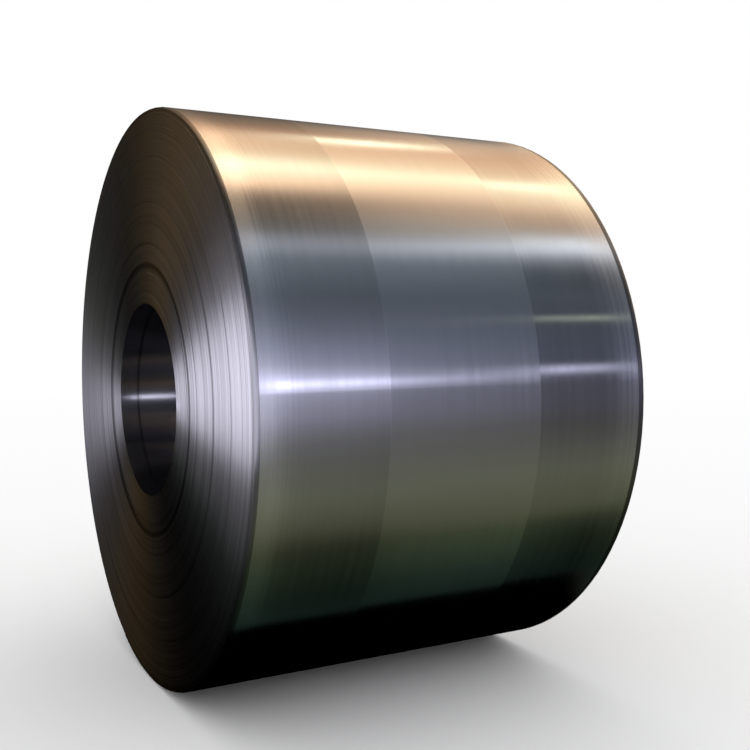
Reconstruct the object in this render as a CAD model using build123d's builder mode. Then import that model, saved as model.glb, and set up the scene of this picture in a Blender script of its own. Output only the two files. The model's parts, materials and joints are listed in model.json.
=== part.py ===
from build123d import *

import os
from math import cos, radians, sin

# Coil of bright rolled steel strip, lying on its side with its bore level.
# X runs along the bore, Z is up, and the origin is on the floor under the middle of the coil.

# The strip, and the mandrel that it was wound on
STRIP_WIDTH = 1250.0
STRIP_THICKNESS = 3.0
BORE_DIAMETER = 610.0

# How far the turns wandered along the mandrel at most, either way
WANDER = 3.0

# Bands of turns from the bore outwards: how many turns, and the share of the wander that they took.
# The third band lies deep in the end that faces the viewer, and so does the last one at the rim.
WOUND_BANDS = (
    (16, 0.00),
    (16, -0.35),
    (6, 1.00),
    (23, -0.50),
    (3, 0.30),
    (20, -0.40),
    (21, -0.85),
    (3, 0.10),
    (20, -0.50),
    (21, -1.00),
    (3, 0.20),
    (22, -0.65),
    (20, -0.25),
    (6, 0.60),
)

# The strip thins towards its edges, so the stacked turns fall away in a soft shoulder at each rim
SHOULDER_LENGTH = 14.0
SHOULDER_DROP = 4.0

# Where the strip ends, in degrees about the bore, from the rear towards the top.
# The tail lies just past the line where the coil rests, so the weight of the coil pins it.
TAIL_ANGLE = -70.0
INNER_END_ANGLE = 200.0
INNER_END_RUN = 25.0

bore_radius = BORE_DIAMETER / 2
turns = sum(count for count, share in WOUND_BANDS)
outer_radius = bore_radius + turns * STRIP_THICKNESS
shoulder_foot = outer_radius - SHOULDER_DROP


def around(radius, angle):
    """A point of the coil's cross-section, at a radius and an angle about the bore."""
    return (radius * cos(radians(angle)), radius * sin(radians(angle)))


def end_profile(end):
    """The stepped line of one end, -1 or 1, from inside the bore out to the foot of the shoulder."""
    points = []
    inner = bore_radius
    for count, share in WOUND_BANDS:
        along = end * STRIP_WIDTH / 2 + share * WANDER
        outer = inner + count * STRIP_THICKNESS
        points += [(along, inner), (along, outer)]
        inner = outer
    # The section starts inside the bore, which is cut round afterwards
    points[0] = (points[0][0], bore_radius - 2 * STRIP_THICKNESS)
    points[-1] = (points[-1][0], shoulder_foot)
    return points


# The tail parts the coil along one diameter. The section is drawn on the side of it where the turns run flush,
# and each half turns from there to the tail. The rear half turns about an axis half a thickness away,
# so each turn winds out by one thickness and the outermost one ends in a step.
centre = Vector(0, 0, outer_radius)
flush_y, flush_z = around(1, TAIL_ANGLE + 180)
flush_side = Vector(0, flush_y, flush_z)
section_plane = Plane(origin=centre, x_dir=(1, 0, 0), z_dir=(0, -flush_z, flush_y))
cross_plane = Plane(origin=centre, x_dir=(0, 1, 0), z_dir=(1, 0, 0))
front_axis = Axis(centre, (1, 0, 0))
rear_axis = Axis(centre + flush_side * (STRIP_THICKNESS / 2), (1, 0, 0))

with BuildPart() as steel_coil:
    with BuildSketch(section_plane) as section:
        with BuildLine():
            near_end = end_profile(-1)
            far_end = end_profile(1)
            near_crown = (near_end[-1][0] + SHOULDER_LENGTH, outer_radius)
            far_crown = (far_end[-1][0] - SHOULDER_LENGTH, outer_radius)
            Polyline(*near_end)
            TangentArc(near_crown, near_end[-1], tangent=(-1, 0))
            Line(near_crown, far_crown)
            TangentArc(far_crown, far_end[-1], tangent=(1, 0))
            Polyline(*far_end)
            Line(near_end[0], far_end[0])
        make_face()
    revolve(section.sketch, axis=rear_axis, revolution_arc=-180)
    revolve(axis=front_axis, revolution_arc=180)

    with BuildSketch(cross_plane):
        Circle(bore_radius)
    extrude(amount=STRIP_WIDTH, both=True, mode=Mode.SUBTRACT)

    # The strip starts square in the bore, and the second turn climbs over that start
    with BuildSketch(cross_plane):
        with BuildLine():
            climb_top = around(bore_radius + STRIP_THICKNESS, INNER_END_ANGLE)
            climb_middle = around(bore_radius, INNER_END_ANGLE - INNER_END_RUN)
            climb_foot = around(bore_radius - STRIP_THICKNESS, INNER_END_ANGLE - 2 * INNER_END_RUN)
            inside_bore = around(bore_radius / 2, INNER_END_ANGLE)
            ThreePointArc(climb_top, climb_middle, climb_foot)
            Polyline(climb_foot, inside_bore, climb_top)
        make_face()
    extrude(amount=STRIP_WIDTH, both=True, mode=Mode.SUBTRACT)

steel_coil.part.label = "steel_coil"

os.makedirs("parts", exist_ok=True)
export_step(steel_coil.part, "parts/steel_coil.step")
print(f"{turns} turns, outer diameter {2 * outer_radius:.0f} mm, volume {steel_coil.part.volume / 1e9:.4f} m3")
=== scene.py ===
# %% [markdown]
# # A coil of bright steel strip
#
# A coil is one long strip of steel, wound tight round a mandrel and then pushed off it.
# It lies on its side, with its bore level, and nothing but its own weight holds the tail.
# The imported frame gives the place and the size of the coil, so it is loaded before anything is made.

# %% Load the frame
import json
import math

import bmesh
import bpy
import numpy as np
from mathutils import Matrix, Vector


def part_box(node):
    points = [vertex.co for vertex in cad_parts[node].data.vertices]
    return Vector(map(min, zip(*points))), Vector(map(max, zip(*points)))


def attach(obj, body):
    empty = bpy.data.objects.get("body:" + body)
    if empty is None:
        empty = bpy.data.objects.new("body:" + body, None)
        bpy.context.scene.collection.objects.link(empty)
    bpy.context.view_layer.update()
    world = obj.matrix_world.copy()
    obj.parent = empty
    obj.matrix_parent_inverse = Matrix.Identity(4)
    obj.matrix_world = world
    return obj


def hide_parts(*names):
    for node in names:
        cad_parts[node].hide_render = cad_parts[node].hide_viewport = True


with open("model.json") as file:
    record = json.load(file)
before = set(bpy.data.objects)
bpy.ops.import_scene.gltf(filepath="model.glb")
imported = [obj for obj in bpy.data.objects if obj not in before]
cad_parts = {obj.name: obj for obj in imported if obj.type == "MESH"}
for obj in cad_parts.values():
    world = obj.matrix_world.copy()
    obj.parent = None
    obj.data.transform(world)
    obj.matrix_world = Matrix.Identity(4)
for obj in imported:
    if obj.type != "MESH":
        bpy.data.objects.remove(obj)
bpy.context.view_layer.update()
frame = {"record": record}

# %% [markdown]
# # Sizes
#
# The mount of the bore holds the sizes that the winding starts from: the radius of the mandrel,
# the width of the strip and the height of the axis, which is the outer radius of a coil that rests
# on the floor. The box of the coil is a little wider than the strip, because the turns wandered along
# the mandrel, and half of the difference is how far they went. What the frame doesn't hold is said again
# here and below: the thickness of the strip, the angles of its two ends, its bands and its shoulder.

# %% Take the sizes from the frame
bore_mount = frame["record"]["mounts"][0]
BORE_RADIUS = bore_mount["dims"]["r_mm"] / 1000
STRIP_WIDTH = bore_mount["dims"]["length_mm"] / 1000
OUTER_RADIUS = bore_mount["pos_m"][2]
coil_low, coil_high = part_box("steel_coil")
WANDER = (coil_high.x - coil_low.x - STRIP_WIDTH) / 2

STRIP_THICKNESS = 0.003
TURNS = round((OUTER_RADIUS - BORE_RADIUS) / STRIP_THICKNESS)
print(TURNS, "turns between radius", BORE_RADIUS, "and", OUTER_RADIUS, "with a wander of", round(WANDER, 4))

# %% [markdown]
# # One turn
#
# A turn lies on the turn below it, so after each full circle the strip is one thickness further out.
# A true spiral climbs all the way round. Here the climb takes the rear half of each turn and the front
# half is a plain circle, as in the solid, so the coil rests on a round face and not on its tail.
# All the turns share one row of angles about the bore, from the tail once round to the tail again.
# The angle where the strip begins, in the bore, is there twice, which makes room for a sharp step.

# %% Lay out the angles of a turn
TAIL_ANGLE = math.radians(-70)
INNER_END_ANGLE = math.radians(200)
INNER_END_RUN = math.radians(25)
COLUMNS = 111

even_angles = TAIL_ANGLE + np.linspace(0, 2 * np.pi, COLUMNS)
step_angles = [INNER_END_ANGLE - INNER_END_RUN, INNER_END_ANGLE, INNER_END_ANGLE]
angles = np.sort(np.concatenate([even_angles, step_angles]))
part_of_turn = (angles - TAIL_ANGLE) / (2 * np.pi)

# How far a turn still lies below its full radius, in thicknesses: one at the tail, none from half a turn on
still_below = np.where(part_of_turn < 0.5, 0.5 + 0.5 * np.cos(2 * np.pi * part_of_turn), 0.0)
# How much of the first turn is missing in the bore, before the strip begins: a ramp that ends in a step
missing = np.interp(angles, [INNER_END_ANGLE - INNER_END_RUN, INNER_END_ANGLE], [0, 1], left=0, right=0)
missing[np.searchsorted(angles, INNER_END_ANGLE, side="right") - 1:] = 0
print(len(angles), "angles, from", round(math.degrees(angles[0])), "to", round(math.degrees(angles[-1])))

# %% [markdown]
# # How the turns wandered
#
# No winding is perfect: the strip drifts along the mandrel, so the ends of a coil show bands of turns
# that stand proud or lie back. The bands below are those of the solid. Within a band each turn also
# lies a little off its neighbours, and that scatter is what draws the fine rings on the ends.
# It comes from a seeded generator, so the rings are the same in every run.

# %% Work out the shift of each turn
WOUND_BANDS = (
    (16, 0.00),
    (16, -0.35),
    (6, 1.00),
    (23, -0.50),
    (3, 0.30),
    (20, -0.40),
    (21, -0.85),
    (3, 0.10),
    (20, -0.50),
    (21, -1.00),
    (3, 0.20),
    (22, -0.65),
    (20, -0.25),
    (6, 0.60),
)
SCATTER = 0.11
DRIFT = 0.30
DRIFT_TURNS = 9
# The innermost turns share one shift, and so do the outermost ones, so the bore and the outer face end clean
PLAIN_TURNS_INSIDE = 2
PLAIN_TURNS_OUTSIDE = 3
RING_SEED = 24

seeded = np.random.default_rng(RING_SEED)
band_shares = np.repeat([share for count, share in WOUND_BANDS], [count for count, share in WOUND_BANDS])
scatter = SCATTER * seeded.normal(size=TURNS)
drift = DRIFT * np.convolve(seeded.normal(size=TURNS), np.ones(DRIFT_TURNS) / DRIFT_TURNS, mode="same")
shifts = WANDER * np.clip(band_shares + scatter + drift, -1, 1)
shifts[:PLAIN_TURNS_INSIDE] = shifts[0]
shifts[-PLAIN_TURNS_OUTSIDE:] = shifts[-PLAIN_TURNS_OUTSIDE]


def wandered(turns_wound):
    """The shift along the bore after so many turns: straight lines between the middles of the turns."""
    return np.interp(turns_wound, np.arange(TURNS) + 0.5, shifts)


print("shifts from", round(shifts.min() * 1000, 2), "to", round(shifts.max() * 1000, 2), "mm")

# %% [markdown]
# # The section of the coil
#
# The whole coil is one closed surface: a section, which is a loop of points in radius and distance
# along the bore, is carried once round the axis. The loop starts at the bore, climbs the near end in
# two rows for each turn, rolls over a soft shoulder to the outer face, crosses it, and comes back down
# the far end and through the bore. A shape made of 200 separate rings would show the same lines,
# but a coil has no rings: on this surface a finger that follows a turn comes out one turn further on.

# %% Compute the rows of the two ends
EDGE_GAP = 0.00025
SHOULDER_LENGTH = 0.014
SHOULDER_DROP = 0.004

bore_line = BORE_RADIUS + STRIP_THICKNESS * missing
outer_line = OUTER_RADIUS - STRIP_THICKNESS * still_below
turn = np.repeat(np.arange(TURNS), 2)[:, None]
side = np.tile([0, 1], TURNS)[:, None]

# The two rows of a turn are its lower and upper face, a hair apart from those of the turns beside it
end_radius = BORE_RADIUS + STRIP_THICKNESS * (turn + side - still_below) + EDGE_GAP * (1 - 2 * side)
end_radius = np.clip(end_radius, bore_line, outer_line - SHOULDER_DROP)
end_shift = wandered(turn + part_of_turn)
first_shift = end_shift[:1]
last_shift = end_shift[-1:]
print("rows on each end", len(end_radius))

# %% [markdown]
# The strip is a little thinner at its edges than in its middle, and over 200 turns that adds up, so the
# outer face falls away at both rims. The shoulder is an arc that leaves the outer face at a tangent.

# %% Compute the shoulder, the outer face and the bore
SHOULDER_ROWS = 8
FACE_ROWS = 11
BORE_ROWS = 4

arc_radius = (SHOULDER_LENGTH**2 + SHOULDER_DROP**2) / (2 * SHOULDER_DROP)
arc = np.linspace(math.asin(SHOULDER_LENGTH / arc_radius), 0, SHOULDER_ROWS)[1:, None]
arc_inset = SHOULDER_LENGTH - arc_radius * np.sin(arc) + 0 * last_shift
arc_level = outer_line - arc_radius * (1 - np.cos(arc))
across_face = np.linspace(-1, 1, FACE_ROWS)[1:-1, None] * (STRIP_WIDTH / 2 - SHOULDER_LENGTH)
across_bore = np.linspace(1, -1, BORE_ROWS + 2)[1:-1, None] * STRIP_WIDTH / 2

# Each entry: the finish it takes, its places along the bore, and its radii
near, far = -STRIP_WIDTH / 2, STRIP_WIDTH / 2
sections = (
    ("turn_edges", near + first_shift, bore_line[None]),
    ("turn_edges", near + end_shift, end_radius),
    ("rolled_face", near + last_shift + arc_inset, arc_level),
    ("rolled_face", last_shift + across_face, np.repeat(outer_line[None], len(across_face), axis=0)),
    ("rolled_face", far + last_shift - arc_inset[::-1], arc_level[::-1]),
    ("turn_edges", far + end_shift[::-1], end_radius[::-1]),
    ("turn_edges", far + first_shift, bore_line[None]),
    ("bore_face", first_shift + across_bore, np.repeat(bore_line[None], len(across_bore), axis=0)),
)
along = np.concatenate([places for finish, places, radii in sections])
radius = np.concatenate([radii for finish, places, radii in sections])
print("section of", len(along), "rows")

# %% [markdown]
# # From arrays to a mesh
#
# Neighbours in the grid of rows and angles become four-cornered faces. The section is a closed loop,
# so the last row joins the first. The angles stay open: the end of each turn meets the start of the next
# one in the same points, and merging those points winds the 200 turns into one strip. What is left
# open is the cut face of the tail, which one last face closes.

# %% Build the wound strip
FINISHES = ("rolled_face", "turn_edges", "bore_face")
MERGE_DISTANCE = 1e-6
CREASE_ANGLE = math.radians(15)


def grid_faces(rows, columns):
    """Corner numbers of the faces of a grid whose rows close on themselves and whose columns stay open."""
    row = np.arange(rows)[:, None]
    column = np.arange(columns - 1)[None]
    next_row = (row + 1) % rows
    corners = (row, column), (row, column + 1), (next_row, column + 1), (next_row, column)
    return np.stack([r * columns + c for r, c in corners], axis=-1).reshape(-1, 4)


rows, columns = along.shape
points = np.stack([along, radius * np.cos(angles), OUTER_RADIUS + radius * np.sin(angles)], axis=-1)
faces = grid_faces(rows, columns)
strip_mesh = bpy.data.meshes.new("wound_strip")
strip_mesh.from_pydata(points.reshape(-1, 3), [], faces)

# A row of faces lies between two rows of points: the bore wins over the ends, and the rolled face over both
point_finish = np.concatenate([[FINISHES.index(finish)] * len(places) for finish, places, radii in sections])
next_finish = np.roll(point_finish, -1)
in_bore = np.maximum(point_finish, next_finish) == FINISHES.index("bore_face")
row_finish = np.where(in_bore, FINISHES.index("bore_face"), np.minimum(point_finish, next_finish))
strip_mesh.polygons.foreach_set("material_index", np.repeat(row_finish, columns - 1))

# %% [markdown]
# The edge of the strip was slit, and its brightness changed along the strip as the knives wore,
# so each turn has its own tone. Turns at the steps of the proud bands are darkened too, as painted shade.
# The tone is stored on the points, where the finish of the ends can read it.

# %% Give the turns their tones
TONE_SPREAD = 0.16
SINGLE_TURN_SHARE = 0.5
# Painted shade where a proud band steps down, standing for its shadow: the first turn there, how many turns,
# and the tone left to them
PAINTED_STEP_SHADE = ((37, 2, 0.65), (39, 3, 0.40), (42, 2, 0.65), (104, 2, 0.85))
# The places of the two ends among the sections
NEAR_END, FAR_END = 1, 5

slow_tone = np.convolve(seeded.normal(size=TURNS), np.ones(DRIFT_TURNS) / DRIFT_TURNS, mode="same")
turn_tones = 1 + TONE_SPREAD * (SINGLE_TURN_SHARE * seeded.normal(size=TURNS) + slow_tone)
for first, count, share in PAINTED_STEP_SHADE:
    turn_tones[first:first + count] *= share
end_tones = np.broadcast_to(turn_tones[turn], end_radius.shape)
point_tones = np.ones_like(along)
for section, tones in ((NEAR_END, end_tones), (FAR_END, end_tones[::-1])):
    start = sum(len(places) for finish, places, radii in sections[:section])
    point_tones[start:start + len(tones)] = tones
tone_layer = strip_mesh.attributes.new("turn_tone", "FLOAT", "POINT")
tone_layer.data.foreach_set("value", point_tones.ravel())
print("tones from", round(turn_tones.min(), 2), "to", round(turn_tones.max(), 2))

# %% Wind the turns into one closed strip
strip_shape = bmesh.new()
strip_shape.from_mesh(strip_mesh)
bmesh.ops.remove_doubles(strip_shape, verts=strip_shape.verts, dist=MERGE_DISTANCE)
bmesh.ops.dissolve_degenerate(strip_shape, edges=strip_shape.edges, dist=MERGE_DISTANCE)
bmesh.ops.holes_fill(strip_shape, edges=[e for e in strip_shape.edges if e.is_boundary], sides=0)
bmesh.ops.recalc_face_normals(strip_shape, faces=strip_shape.faces)
open_edges = sum(not edge.is_manifold for edge in strip_shape.edges)
strip_volume = strip_shape.calc_volume()
strip_shape.to_mesh(strip_mesh)
strip_shape.free()
strip_mesh.shade_smooth()
strip_mesh.set_sharp_from_angle(angle=CREASE_ANGLE)
strip_mesh.calc_loop_triangles()
print(len(strip_mesh.loop_triangles), "triangles and", open_edges, "open edges")
print("volume", round(strip_volume, 4), "cubic metres")

# %% [markdown]
# # Nodes in few words
#
# Three finishes share a good deal, so three small helpers keep the node trees short. The first adds a node,
# sets its options and feeds its inputs, with a socket or with a plain value. The second does a sum, and the
# third starts a group of nodes.

# %% Helpers for node trees
def place(tree, kind, feeds=None, **options):
    """Add one node, set its options, and feed its inputs with sockets or plain values."""
    made = tree.nodes.new(kind)
    for option, value in options.items():
        setattr(made, option, value)
    for name, feed in (feeds or {}).items():
        if isinstance(feed, bpy.types.NodeSocket):
            tree.links.new(feed, made.inputs[name])
        else:
            made.inputs[name].default_value = feed
    return made


def work_out(tree, operation, first, second=0.0, third=0.0):
    """Add one Math node and give its result."""
    return place(tree, "ShaderNodeMath", {0: first, 1: second, 2: third}, operation=operation).outputs[0]


def new_group(name, inputs, outputs):
    """Start a node group with plain number inputs, given with their values, and plain number outputs."""
    group = bpy.data.node_groups.new(name, "ShaderNodeTree")
    for label, value in inputs.items():
        socket = group.interface.new_socket(label, in_out="INPUT", socket_type="NodeSocketFloat")
        socket.default_value = value
    for label in outputs:
        group.interface.new_socket(label, in_out="OUTPUT", socket_type="NodeSocketFloat")
    return group, group.nodes.new("NodeGroupInput").outputs, group.nodes.new("NodeGroupOutput").inputs


# %% [markdown]
# # Where a point lies on the coil
#
# All the marks on a coil run round it or along it, so its finishes don't ask for X, Y and Z. They ask how
# far along the bore a point lies, from the near end, how far out from the axis, and how high up, from 0 at
# the floor to 1 at the top. One group answers all three, from the Object coordinates.

# %% The group that finds the place on the coil
place_group, _, found = new_group("place_on_coil", {}, ("Along", "Radius", "Height"))
spot = place(place_group, "ShaderNodeTexCoord").outputs["Object"]
spot_parts = place(place_group, "ShaderNodeSeparateXYZ", {0: spot}).outputs
above_axis = work_out(place_group, "SUBTRACT", spot_parts["Z"], OUTER_RADIUS)
from_axis = place(place_group, "ShaderNodeCombineXYZ", {"Y": spot_parts["Y"], "Z": above_axis}).outputs[0]
axis_distance = place(place_group, "ShaderNodeVectorMath", {0: from_axis}, operation="LENGTH")
place_group.links.new(work_out(place_group, "ADD", spot_parts["X"], STRIP_WIDTH / 2), found["Along"])
place_group.links.new(axis_distance.outputs["Value"], found["Radius"])
place_group.links.new(work_out(place_group, "DIVIDE", spot_parts["Z"], 2 * OUTER_RADIUS), found["Height"])
print("group", place_group.name)

# %% [markdown]
# # Drawn lines
#
# Rolls leave fine lines that run with the strip, and on the ends the stacked edges do the same. Noise that
# is very fine across the lines and long along them gives both. The input Across is the distance along the
# bore on a rolled face, or the radius on an end. Y and Z, made small, stretch the noise round the coil
# without a seam.

# %% The group that draws lines round the coil
LINE_DETAIL = 3.0
# The noise runs from 0 to 1 and seldom leaves this range, which is spread to run from -1 to 1
NOISE_LOW, NOISE_HIGH = 0.25, 0.75

lines_group, asked, drawn = new_group(
    "drawn_lines", {"Across": 0.0, "Lines per metre": 400.0, "Changes per metre": 1.0}, ("Lines",)
)
spot = place(lines_group, "ShaderNodeTexCoord").outputs["Object"]
spot_parts = place(lines_group, "ShaderNodeSeparateXYZ", {0: spot}).outputs
stretched = place(lines_group, "ShaderNodeCombineXYZ", {
    "X": work_out(lines_group, "MULTIPLY", asked["Across"], asked["Lines per metre"]),
    "Y": work_out(lines_group, "MULTIPLY", spot_parts["Y"], asked["Changes per metre"]),
    "Z": work_out(lines_group, "MULTIPLY", spot_parts["Z"], asked["Changes per metre"]),
}).outputs[0]
line_noise = place(lines_group, "ShaderNodeTexNoise", {
    "Vector": stretched, "Scale": 1.0, "Detail": LINE_DETAIL,
})
spread = place(lines_group, "ShaderNodeMapRange", {
    "Value": line_noise.outputs[0], "From Min": NOISE_LOW, "From Max": NOISE_HIGH,
    "To Min": -1.0, "To Max": 1.0,
})
lines_group.links.new(spread.outputs[0], drawn["Lines"])
print("group", lines_group.name)

# %% [markdown]
# # Oil film
#
# The strip was oiled against rust, and the film dried in broad, soft clouds. They don't colour the steel,
# but they change how sharply it mirrors, so the group gives a mask for the roughness. Its input is the
# number of clouds in a metre.

# %% The group that clouds the surface
FILM_DETAIL = 4.0
# The noise where the film starts and where it is full
FILM_START, FILM_FULL = 0.4, 0.7

film_group, asked, filmed = new_group("oil_film", {"Clouds per metre": 3.0}, ("Film",))
spot = place(film_group, "ShaderNodeTexCoord").outputs["Object"]
clouds = place(film_group, "ShaderNodeTexNoise", {
    "Vector": spot, "Scale": asked["Clouds per metre"], "Detail": FILM_DETAIL,
})
cloud_mask = place(film_group, "ShaderNodeMapRange", {
    "Value": clouds.outputs[0], "From Min": FILM_START, "From Max": FILM_FULL, "To Min": 0.0, "To Max": 1.0,
})
film_group.links.new(cloud_mask.outputs[0], filmed["Film"])
print("group", film_group.name)

# %% [markdown]
# # What the finishes share
#
# Steel with drawn lines mirrors in a special way: the lines spread a highlight across themselves and keep
# it sharp along themselves. Anisotropic on the Principled BSDF does that, with a tangent that runs round
# the X axis, turned by a quarter. On the outer face a lamp then becomes a long streak along the
# coil, and on the ends it becomes two bright wedges that meet at the bore, as on a record.

# %% Start a steel finish
STEEL = (0.60, 0.60, 0.62)
ANISOTROPY = 1.0
QUARTER_TURN = 0.25


def steel_finish(name):
    """A new metal material with the tangent round the bore. Gives the material, its tree and its shader."""
    finish = bpy.data.materials.new(name)
    finish.use_nodes = True
    tree = finish.node_tree
    shader = tree.nodes["Principled BSDF"]
    shader.inputs["Metallic"].default_value = 1.0
    shader.inputs["Anisotropic"].default_value = ANISOTROPY
    shader.inputs["Anisotropic Rotation"].default_value = QUARTER_TURN
    tangent = place(tree, "ShaderNodeTangent", direction_type="RADIAL", axis="X")
    tree.links.new(tangent.outputs[0], shader.inputs["Tangent"])
    return finish, tree, shader


def use_group(tree, group, **feeds):
    """Place a node group in a tree. Underscores in the names of the feeds stand for spaces."""
    named_feeds = {name.replace("_", " "): feed for name, feed in feeds.items()}
    return place(tree, "ShaderNodeGroup", named_feeds, node_tree=group).outputs


def toned(tree, colour, tone):
    """A colour made lighter or darker by a number."""
    return place(tree, "ShaderNodeVectorMath", {0: colour, 1: tone}, operation="MULTIPLY").outputs[0]


# %% [markdown]
# # The rolled face
#
# The outer turn shows the strip as it came from the last stand. Its width has three lanes, each worn by its
# own stretch of the rolls: a dark one on the near side, a paler one in the middle and the smoothest one
# beyond it. Towards both edges of the strip the lanes turn paler, rougher and more lined in small steps, and
# they end in dark rims. A ramp with constant steps holds them: red is the roughness, green the tone and
# blue the strength of the lines. Strip is also crowned: the lanes on both sides slope down towards the edges.
# The slope is in the normal alone, and it makes what the steel mirrors jump where one lane meets the next.

# %% Make the rolled face
# Distance from the near edge in metres where each step starts, its roughness, its tone and its lines
LANES = (
    (0.000, 0.26, 0.75, 0.10),
    (0.012, 0.24, 1.56, 0.10),
    (0.030, 0.22, 1.56, 0.10),
    (0.045, 0.20, 1.46, 0.08),
    (0.058, 0.18, 1.35, 0.06),
    (0.070, 0.17, 1.23, 0.05),
    (0.082, 0.16, 1.13, 0.05),
    (0.096, 0.16, 1.05, 0.05),
    (0.112, 0.16, 1.00, 0.05),
    (0.130, 0.16, 0.97, 0.05),
    (0.150, 0.16, 0.95, 0.05),
    (0.175, 0.16, 0.93, 0.05),
    (0.200, 0.16, 0.92, 0.05),
    (0.240, 0.16, 0.90, 0.05),
    (0.290, 0.16, 0.88, 0.05),
    (0.335, 0.16, 0.86, 0.05),
    (0.375, 0.14, 1.00, 0.03),
    (0.860, 0.11, 0.86, 0.05),
    (1.100, 0.12, 0.89, 0.07),
    (1.120, 0.13, 0.93, 0.09),
    (1.140, 0.15, 0.98, 0.11),
    (1.165, 0.17, 1.04, 0.13),
    (1.190, 0.19, 1.10, 0.14),
    (1.228, 0.30, 0.35, 0.10),
)
# The ramp holds half of each tone, so that its colours stay below 1
TONE_UNIT = 0.5
# Where the near lane ends and where the far lane starts
CROWN_LANES = (0.375, 0.860)
CROWN_SLOPE = math.tan(math.radians(2.5))
# A ramp is held as 256 colours and a lane starts at the next of them, so the crown has to start there too
RAMP_STEPS = 255
FINE_LINES, FINE_CHANGES = 900.0, 1.5
BROAD_LINES, BROAD_CHANGES = 60.0, 0.5
BROAD_LINE_DEPTH = 0.00002
FACE_CLOUDS = 2.2
FACE_FILM_ROUGHNESS = 0.03
BROAD_LINE_ROUGHNESS = 0.02

rolled_face, tree, shader = steel_finish("rolled_face")
along_bore = use_group(tree, place_group)["Along"]
ramp = place(tree, "ShaderNodeValToRGB", {"Fac": work_out(tree, "DIVIDE", along_bore, STRIP_WIDTH)})
ramp.color_ramp.interpolation = "CONSTANT"
stops = ramp.color_ramp.elements
for number, (start, roughness, tone, lines) in enumerate(LANES):
    stop = stops[0] if number == 0 else stops.new(start / STRIP_WIDTH)
    stop.position = start / STRIP_WIDTH
    stop.color = (roughness, tone * TONE_UNIT, lines, 1)
# A new ramp has a stop at its end, which no lane needs
stops.remove(stops[-1])
lane = place(tree, "ShaderNodeSeparateColor", {0: ramp.outputs["Color"]}).outputs
fine = use_group(
    tree, lines_group, Across=along_bore, Lines_per_metre=FINE_LINES, Changes_per_metre=FINE_CHANGES
)
broad = use_group(
    tree, lines_group, Across=along_bore, Lines_per_metre=BROAD_LINES, Changes_per_metre=BROAD_CHANGES
)
film = use_group(tree, film_group, Clouds_per_metre=FACE_CLOUDS)

line_sum = work_out(tree, "ADD", fine["Lines"], broad["Lines"])
line_tone = work_out(tree, "MULTIPLY_ADD", line_sum, lane["Blue"], 1 / TONE_UNIT)
face_tone = work_out(tree, "MULTIPLY", lane["Green"], line_tone)
tree.links.new(toned(tree, STEEL, face_tone), shader.inputs["Base Color"])
roughness = work_out(tree, "MULTIPLY_ADD", film["Film"], FACE_FILM_ROUGHNESS, lane["Red"])
roughness = work_out(tree, "MULTIPLY_ADD", broad["Lines"], BROAD_LINE_ROUGHNESS, roughness)
tree.links.new(roughness, shader.inputs["Roughness"])

crown_starts = [
    math.ceil(start / STRIP_WIDTH * RAMP_STEPS) / RAMP_STEPS * STRIP_WIDTH
    for start in CROWN_LANES
]
on_near_lane = work_out(tree, "LESS_THAN", along_bore, crown_starts[0])
on_far_lane = work_out(tree, "GREATER_THAN", along_bore, crown_starts[1])
crown_side = work_out(tree, "SUBTRACT", on_far_lane, on_near_lane)
crown_lean = work_out(tree, "MULTIPLY", crown_side, CROWN_SLOPE)
crown_tilt = place(tree, "ShaderNodeVectorTransform", {
    0: place(tree, "ShaderNodeCombineXYZ", {"X": crown_lean}).outputs[0],
}, vector_type="VECTOR", convert_from="OBJECT", convert_to="WORLD").outputs[0]
flat_normal = place(tree, "ShaderNodeNewGeometry").outputs["Normal"]
sloped = place(tree, "ShaderNodeVectorMath", {0: flat_normal, 1: crown_tilt}, operation="ADD").outputs[0]
sloped = place(tree, "ShaderNodeVectorMath", {0: sloped}, operation="NORMALIZE").outputs[0]
line_height = work_out(tree, "MULTIPLY", broad["Lines"], BROAD_LINE_DEPTH)
relief = place(tree, "ShaderNodeBump", {
    "Height": line_height, "Strength": 1.0, "Distance": 1.0, "Normal": sloped,
})
tree.links.new(relief.outputs[0], shader.inputs["Normal"])
print("finish", rolled_face.name, "with", len(ramp.color_ramp.elements), "lanes")

# %% [markdown]
# # The turn edges
#
# The ends of the coil are hundreds of slit edges side by side. Each has its own tone, which the mesh holds,
# and the knives left a matt, torn grain on them, so they mirror more softly than the rolled face. Painted
# light makes the outer turns a little paler than the inner ones, and the last turns at the rim are darker.
# Painted light and shade also make the ends lighter at the top and darker towards the floor. A cap on the
# tone keeps the palest turns from mirroring more light than they get.

# %% Make the turn edges
EDGE_STEEL = (0.80, 0.79, 0.79)
EDGE_ROUGHNESS, EDGE_FILM_ROUGHNESS = 0.62, 0.04
EDGE_CLOUDS = 3.5
RIM_START = OUTER_RADIUS - 0.020
RIM_FADE = 0.006
RIM_TONE = 0.7
RING_LINES, RING_CHANGES, RING_CONTRAST = 250.0, 2.0, 0.12
BAND_LINES, BAND_CHANGES, BAND_CONTRAST = 25.0, 0.6, 0.10
BAND_RELIEF, BAND_DEPTH = 0.15, 0.0005
# Painted shade at the floor and painted light at the top of the ends
PAINTED_SHADE_LOW, PAINTED_LIGHT_HIGH = 0.45, 1.35
# Painted light on the ends, from the bore out to the rim
INNER_PAINTED_LIGHT, OUTER_PAINTED_LIGHT = 0.88, 1.12
BRIGHTEST_TONE = 1.2

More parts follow.
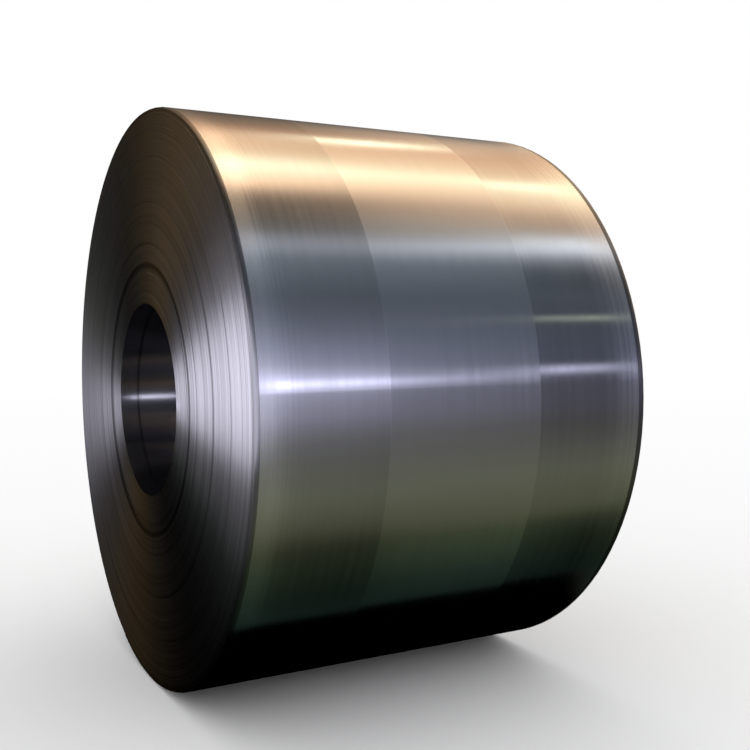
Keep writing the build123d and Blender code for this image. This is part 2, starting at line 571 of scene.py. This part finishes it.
turn_edges, tree, shader = steel_finish("turn_edges")
place_found = use_group(tree, place_group)
edge_tone = place(tree, "ShaderNodeAttribute", attribute_name="turn_tone").outputs["Fac"]
out_from_axis = place_found["Radius"]
rings = use_group(
    tree, lines_group, Across=out_from_axis, Lines_per_metre=RING_LINES, Changes_per_metre=RING_CHANGES
)
bands = use_group(
    tree, lines_group, Across=out_from_axis, Lines_per_metre=BAND_LINES, Changes_per_metre=BAND_CHANGES
)
film = use_group(tree, film_group, Clouds_per_metre=EDGE_CLOUDS)
rim = place(tree, "ShaderNodeMapRange", {
    "Value": out_from_axis, "From Min": RIM_START, "From Max": RIM_START + RIM_FADE,
    "To Min": 1.0, "To Max": RIM_TONE,
}).outputs[0]

ring_tone = work_out(tree, "MULTIPLY_ADD", rings["Lines"], RING_CONTRAST, edge_tone)
ring_tone = work_out(tree, "MULTIPLY_ADD", bands["Lines"], BAND_CONTRAST, ring_tone)
ring_tone = work_out(tree, "MULTIPLY", ring_tone, rim)
# Painted light and shade: the ends are lighter at the top and darker towards the floor
painted_height_light = place(tree, "ShaderNodeMapRange", {
    "Value": place_found["Height"], "To Min": PAINTED_SHADE_LOW, "To Max": PAINTED_LIGHT_HIGH,
}).outputs[0]
# Painted light: the ends are made paler from the bore out to the rim
painted_outward_light = place(tree, "ShaderNodeMapRange", {
    "Value": out_from_axis, "From Min": BORE_RADIUS, "From Max": OUTER_RADIUS,
    "To Min": INNER_PAINTED_LIGHT, "To Max": OUTER_PAINTED_LIGHT,
}).outputs[0]
ring_tone = work_out(tree, "MULTIPLY", ring_tone, work_out(tree, "MULTIPLY", painted_height_light, painted_outward_light))
ring_tone = work_out(tree, "MINIMUM", ring_tone, BRIGHTEST_TONE)
tree.links.new(toned(tree, EDGE_STEEL, ring_tone), shader.inputs["Base Color"])
roughness = work_out(tree, "MULTIPLY_ADD", film["Film"], EDGE_FILM_ROUGHNESS, EDGE_ROUGHNESS)
tree.links.new(roughness, shader.inputs["Roughness"])
relief = place(tree, "ShaderNodeBump", {
    "Height": bands["Lines"], "Strength": BAND_RELIEF, "Distance": BAND_DEPTH,
})
tree.links.new(relief.outputs[0], shader.inputs["Normal"])
print("finish", turn_edges.name)

# %% [markdown]
# # The bore
#
# The first turn lay on the mandrel, which kept it even and smooth. It has fine lines and a thin film of oil,
# and a dark line not far inside shows where the edge of a mandrel segment pressed on it. Its steel is as
# pale as the outside, and it looks darker only for what it mirrors.

# %% Make the bore face
BORE_STEEL = (0.60, 0.60, 0.63)
BORE_ROUGHNESS, BORE_FILM_ROUGHNESS = 0.14, 0.01
BORE_CLOUDS = 4.0
BORE_LINES, BORE_CHANGES, BORE_CONTRAST = 500.0, 2.0, 0.08
SEGMENT_LINE = 0.060
SEGMENT_LINE_WIDTH = 0.006
SEGMENT_LINE_TONE = 0.25

bore_face, tree, shader = steel_finish("bore_face")
along_bore = use_group(tree, place_group)["Along"]
fine = use_group(
    tree, lines_group, Across=along_bore, Lines_per_metre=BORE_LINES, Changes_per_metre=BORE_CHANGES
)
film = use_group(tree, film_group, Clouds_per_metre=BORE_CLOUDS)
off_line = work_out(tree, "ABSOLUTE", work_out(tree, "SUBTRACT", along_bore, SEGMENT_LINE))
line_tone = place(tree, "ShaderNodeMapRange", {
    "Value": off_line, "From Min": 0.0, "From Max": SEGMENT_LINE_WIDTH,
    "To Min": SEGMENT_LINE_TONE, "To Max": 1.0,
}).outputs[0]
bore_tone = work_out(tree, "MULTIPLY_ADD", fine["Lines"], BORE_CONTRAST, 1.0)
bore_tone = work_out(tree, "MULTIPLY", bore_tone, line_tone)
tree.links.new(toned(tree, BORE_STEEL, bore_tone), shader.inputs["Base Color"])
roughness = work_out(tree, "MULTIPLY_ADD", film["Film"], BORE_FILM_ROUGHNESS, BORE_ROUGHNESS)
tree.links.new(roughness, shader.inputs["Roughness"])
print("finish", bore_face.name)

# %% [markdown]
# # Into the frame
#
# The strip stands for the solid of the coil and rides on its only body.

# %% Put the strip into the frame
wound_strip = bpy.data.objects.new("wound_strip", strip_mesh)
bpy.context.scene.collection.objects.link(wound_strip)
for finish in (rolled_face, turn_edges, bore_face):
    strip_mesh.materials.append(finish)
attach(wound_strip, "root")
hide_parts("steel_coil")
print("piece", wound_strip.name, "with", [finish.name for finish in strip_mesh.materials])

# %% [markdown]
# # The floor and the white room
#
# The coil stands on a plain pale floor in a white room. The world is white at strength 1, and the floor
# fades into it with distance, so no horizon shows and the floor still takes the soft shadow of the coil.

# %% Make the floor
FLOOR_RADIUS = 14.0
FLOOR_HOLE = 0.01
FLOOR_RINGS = 12
FLOOR_SPOKES = 73
FADE_START = 4.0
FLOOR_TONE = (0.97, 0.97, 0.97, 1)


def stage_surface(name, points, finish):
    """A grid of points, rows by columns, as a mesh on the stage."""
    rows, columns = points.shape[:2]
    mesh = bpy.data.meshes.new(name)
    mesh.from_pydata(points.reshape(-1, 3), [], grid_faces(rows, columns)[:(rows - 1) * (columns - 1)])
    mesh.materials.append(finish)
    piece = bpy.data.objects.new(name, mesh)
    bpy.context.scene.collection.objects.link(piece)
    return piece


pale_floor = bpy.data.materials.new("pale_floor")
pale_floor.use_nodes = True
tree = pale_floor.node_tree
tree.nodes.clear()
spot = place(tree, "ShaderNodeTexCoord").outputs["Object"]
distance = place(tree, "ShaderNodeVectorMath", {0: spot}, operation="LENGTH").outputs["Value"]
fade = place(tree, "ShaderNodeMapRange", {
    "Value": distance, "From Min": FADE_START, "From Max": FLOOR_RADIUS, "To Min": 0.0, "To Max": 1.0,
}).outputs[0]
cover = place(tree, "ShaderNodeBsdfDiffuse", {"Color": FLOOR_TONE}).outputs[0]
clear = place(tree, "ShaderNodeBsdfTransparent").outputs[0]
mixed = place(tree, "ShaderNodeMixShader", {0: fade, 1: cover, 2: clear}).outputs[0]
place(tree, "ShaderNodeOutputMaterial", {"Surface": mixed})

ring_radii = np.linspace(FLOOR_HOLE, FLOOR_RADIUS, FLOOR_RINGS)
spoke_angles = np.linspace(0, 2 * np.pi, FLOOR_SPOKES)
reach, turned = np.meshgrid(ring_radii, spoke_angles, indexing="ij")
floor_points = np.stack([reach * np.cos(turned), reach * np.sin(turned), 0 * reach], axis=-1)
floor = stage_surface("floor", floor_points, pale_floor)
floor.visible_glossy = False

white_room = bpy.data.worlds.new("white_room")
white_room.use_nodes = True
white_room.node_tree.nodes["Background"].inputs["Color"].default_value = (1, 1, 1, 1)
white_room.node_tree.nodes["Background"].inputs["Strength"].default_value = 1.0
bpy.context.scene.world = white_room
print("floor", FLOOR_RADIUS, "m in radius")

# %% [markdown]
# # What the steel mirrors
#
# Bright metal has hardly a colour of its own: it shows what stands round it. In a white room this coil
# would be white all over, so a photographer hangs cards. Here a dome of painted cloth does that, with its
# poles on the line of the bore and its colours in stripes along it: a dark floor, an olive wall, a slate
# wall, a pale window line and a warm ceiling. Glows stand for windows and lamps: those about 10 degrees up
# are mirrored as the streak along the outer face, some thin ones overhead draw lines near the top, and a
# faint one at the rear left is a pale wall. Towards the near pole the stripes are dim, which keeps the end
# of the coil dark but for its two bright wedges. Only mirrored rays meet the dome.

# %% Hang the dome
DOME_RADIUS = 40.0
DOME_START, DOME_END = -98, 262
DOME_ROWS, DOME_COLUMNS = 91, 721
# Angle about the bore in degrees, from the front over the top to the rear, and the glow there
FLOOR_STRIPES = (
    (-98, (0.00, 0.00, 0.00)),
    (-92, (0.01, 0.02, 0.02)),
    (-77, (0.03, 0.055, 0.036)),
    (-60, (0.08, 0.11, 0.06)),
    (-52, (0.13, 0.14, 0.08)),
    (-31, (0.17, 0.18, 0.13)),
    (-11, (0.15, 0.15, 0.15)),
    (-3, (0.17, 0.17, 0.21)),
    (20, (0.16, 0.18, 0.24)),
    (42, (0.12, 0.14, 0.17)),
)
BRIGHT_STRIPES = FLOOR_STRIPES + (
    (57, (0.20, 0.24, 0.28)),
    (65, (0.60, 0.63, 0.70)),
    (72, (0.58, 0.55, 0.48)),
    (85, (0.88, 0.60, 0.40)),
    (95, (1.60, 1.10, 0.68)),
    (102, (1.60, 1.30, 0.82)),
    (112, (1.45, 0.98, 0.58)),
    (127, (1.10, 0.66, 0.39)),
    (142, (0.80, 0.56, 0.38)),
    (156, (0.24, 0.23, 0.21)),
    (170, (0.08, 0.08, 0.08)),
    (180, (0.14, 0.14, 0.16)),
    (215, (0.16, 0.17, 0.13)),
    (245, (0.05, 0.06, 0.04)),
    (262, (0.00, 0.00, 0.00)),
)
DIM_STRIPES = FLOOR_STRIPES + (
    (65, (0.10, 0.11, 0.13)),
    (100, (0.10, 0.09, 0.08)),
    (150, (0.28, 0.18, 0.07)),
    (180, (0.14, 0.09, 0.03)),
    (195, (0.00, 0.00, 0.00)),
    (262, (0.00, 0.00, 0.00)),
)
# The leans along the bore, in degrees, where the dim stripes are alone and where they have ended
DIM_LEANS = (-12, 12)
# The share of their glow that the dim stripes keep
DIM_SHARE = 0.25
WARM, AMBER = np.array((1.6, 1.8, 1.3)), np.array((1.6, 0.9, 0.5))
COOL, LILAC = np.array((0.9, 1.0, 1.1)), np.array((0.9, 0.9, 1.2))
# Lamps and windows: angle about the bore, lean along it, the spread both ways in degrees, and the added glow
GLOWS = (
    (101, 20, 4.0, 6.0, 0.5 * WARM),
    (92, 17, 3.0, 5.0, 0.4 * AMBER),
    (104, 46, 6.0, 5.0, 0.3 * WARM),
    (105, 40, 1.0, 5.0, 1.5 * WARM),
    (128, 27, 1.2, 3.0, 2.2 * WARM),
    (72, 47, 3.0, 5.0, 1.5 * COOL),
    (66, 36, 1.5, 4.0, 0.3 * COOL),
    (36, 47, 0.6, 3.0, 0.7 * WARM),
    (10, 16, 11.0, 6.0, 0.6 * LILAC),
    (10, 16, 3.0, 6.0, 0.9 * LILAC),
    (10, 18, 0.8, 6.0, 2.1 * LILAC),
    (10, 33, 1.8, 5.0, 0.05 * LILAC),
    (13, 43.6, 1.2, 1.3, 2.4 * LILAC),
    (185, -58, 24.0, 11.0, 0.1 * COOL),
)
# Cards and dark floor: the same four numbers, and the share of the glow that is left
SHADES = (
    (75, 12, 12.0, 15.0, 0.20),
    (145, 12, 17.0, 15.0, 0.34),
    (-66, 20, 22.0, 9.0, 0.08),
    (-79, 52, 22.0, 13.0, 0.03),
    (57, 52, 10.0, 13.0, 0.40),
    (10, 52, 35.0, 13.0, 0.55),
)

dome_leans = np.linspace(-90, 90, DOME_ROWS)
dome_angles = np.linspace(DOME_START, DOME_END, DOME_COLUMNS)
lean, about = np.meshgrid(dome_leans, dome_angles, indexing="ij")
lean_angle, about_angle = np.radians(lean), np.radians(about)
dome_points = DOME_RADIUS * np.stack([
    np.sin(lean_angle),
    -np.cos(lean_angle) * np.cos(about_angle),
    np.cos(lean_angle) * np.sin(about_angle),
], axis=-1)


def striped(stripes):
    """The glow all over the dome: straight lines between the stripes, by the angle about the bore."""
    stops = [angle for angle, glow in stripes]
    glows = np.array([glow for angle, glow in stripes])
    return np.stack([np.interp(about, stops, glows[:, channel]) for channel in range(3)], axis=-1)


def soft_spot(spot_about, spot_lean, about_spread, lean_spread):
    """A lamp on the dome, 1 in its middle: a bell curve both ways."""
    away = ((about - spot_about) / about_spread) ** 2 + ((lean - spot_lean) / lean_spread) ** 2
    return np.exp(-away / 2)[..., None]


def soft_card(card_about, card_lean, about_reach, lean_reach):
    """A card on the dome, near to 1 all over it: it falls with the fourth power of the distance both ways."""
    away = ((about - card_about) / about_reach) ** 4 + ((lean - card_lean) / lean_reach) ** 4
    return np.exp(-away)[..., None]


dimness = np.interp(lean, DIM_LEANS, (1, 0))[..., None]
dome_glow = striped(BRIGHT_STRIPES) * (1 - dimness) + DIM_SHARE * striped(DIM_STRIPES) * dimness
for *card_shape, share_left in SHADES:
    dome_glow = dome_glow * (1 - (1 - share_left) * soft_card(*card_shape))
for *spot_shape, added in GLOWS:
    dome_glow = dome_glow + added * soft_spot(*spot_shape)

painted_cloth = bpy.data.materials.new("painted_cloth")
painted_cloth.use_nodes = True
painted_cloth.cycles.emission_sampling = "NONE"
tree = painted_cloth.node_tree
tree.nodes.clear()
glow = place(tree, "ShaderNodeAttribute", attribute_name="glow").outputs["Color"]
place(tree, "ShaderNodeOutputMaterial", {
    "Surface": place(tree, "ShaderNodeEmission", {"Color": glow, "Strength": 1.0}).outputs[0],
})
dome = stage_surface("dome", dome_points, painted_cloth)
glow_layer = dome.data.attributes.new("glow", "FLOAT_COLOR", "POINT")
glow_layer.data.foreach_set("color", np.concatenate([dome_glow, np.ones_like(dimness)], axis=-1).ravel())


def only_mirrored(piece):
    """Leave a card to the mirrored rays alone, so that it neither shows nor lights or shades the floor."""
    piece.visible_camera = False
    piece.visible_diffuse = False
    piece.visible_transmission = False
    piece.visible_shadow = False


only_mirrored(dome)
print("dome with", len(BRIGHT_STRIPES), "stripes,", len(GLOWS), "glows and", len(SHADES), "shades")

# %% [markdown]
# Little light gets under a coil, so its underside mirrors its own dark shadow. A black cloth does that.

# %% Lay the black cloth
CLOTH_HALF_LENGTH = STRIP_WIDTH / 2 + 0.3
CLOTH_HALF_DEPTH = 0.72
# It lies just below the floor, which mirrored rays don't meet
CLOTH_LEVEL = -0.002

black_cloth = bpy.data.materials.new("black_cloth")
black_cloth.use_nodes = True
black_cloth.node_tree.nodes.clear()
place(black_cloth.node_tree, "ShaderNodeOutputMaterial", {
    "Surface": place(black_cloth.node_tree, "ShaderNodeBsdfDiffuse", {"Color": (0, 0, 0, 1)}).outputs[0],
})
cloth_x, cloth_y = np.meshgrid([-CLOTH_HALF_LENGTH, CLOTH_HALF_LENGTH], [-CLOTH_HALF_DEPTH, CLOTH_HALF_DEPTH])
cloth = stage_surface("cloth", np.stack([cloth_x, cloth_y, 0 * cloth_x + CLOTH_LEVEL], axis=-1), black_cloth)
only_mirrored(cloth)

# %% [markdown]
# # The lamps
#
# Three cool lamps stand at the front left. The panel and the taller, weaker screen behind it are long, stand
# level with the coil and face along the bore, and the slit edges of the near end mirror them as two bright
# wedges. The beam is narrow and shines into the mouth of the bore, where it makes a bright line. Each lamp
# has a weaker double across the coil, so that the far end is lit too.

# %% Set the lamps
LAMP_COLOUR = (0.84, 0.83, 1.00)
REAR_SHARE = 0.35


def area_lamp(name, spot, aim, size, spread, power):
    """A level area lamp of a width and a height at a spot, facing the point that it is aimed at."""
    lamp = bpy.data.lights.new(name, "AREA")
    lamp.shape = "ELLIPSE"
    lamp.size, lamp.size_y = size
    lamp.spread = math.radians(spread)
    lamp.color = LAMP_COLOUR
    lamp.energy = power
    piece = bpy.data.objects.new(name, lamp)
    piece.location = spot
    facing = np.subtract(aim, spot)
    turn_level = math.atan2(facing[1], facing[0]) - math.pi / 2
    tilt = math.atan2(facing[2], math.hypot(facing[0], facing[1])) + math.pi / 2
    piece.rotation_euler = (tilt, 0, turn_level)
    bpy.context.scene.collection.objects.link(piece)
    only_mirrored(piece)


# Where each stands, where it looks, its width and height, the spread of its light and its power
LAMPS = {
    "panel": ((-1.20, -1.84, 1.05), (-0.21, -1.71, 1.05), (4.0, 1.03), 180, 12.5),
    "screen": ((-1.23, -1.87, 1.05), (-0.24, -1.74, 1.05), (4.0, 2.60), 180, 2.4),
    "beam": ((-2.2, -4.2, 1.00), (-0.625, -0.03, 0.90), (0.19, 0.04), 0.8, 0.02),
}
for name, (spot, aim, size, spread, power) in LAMPS.items():
    rear_spot, rear_aim = (-spot[0], -spot[1], spot[2]), (-aim[0], -aim[1], aim[2])
    area_lamp(name + "_left_front", spot, aim, size, spread, power)
    area_lamp(name + "_right_rear", rear_spot, rear_aim, size, spread, REAR_SHARE * power)
print(len(LAMPS), "lamps on each side")

# %% [markdown]
# # The camera
#
# The camera stands where the photograph was taken from: to the left of the coil, a little above its axis,
# so the near end shows as a tall ellipse and the outer face runs away to the right.

# %% Set the camera
CAMERA_PLACE = (-1.533, -3.133, 1.166)
CAMERA_DOWN = math.radians(3.29)
CAMERA_TURN = math.radians(-29.04)
CAMERA_LENS = 48.17
CAMERA_REACH = 100.0

camera = bpy.data.objects.new("camera", bpy.data.cameras.new("camera"))
camera.location = CAMERA_PLACE
camera.rotation_euler = (math.pi / 2 - CAMERA_DOWN, 0, CAMERA_TURN)
camera.data.lens = CAMERA_LENS
camera.data.clip_end = CAMERA_REACH
bpy.context.scene.collection.objects.link(camera)
bpy.context.scene.camera = camera
bpy.context.scene.view_settings.view_transform = "Standard"
print("camera at", CAMERA_PLACE)
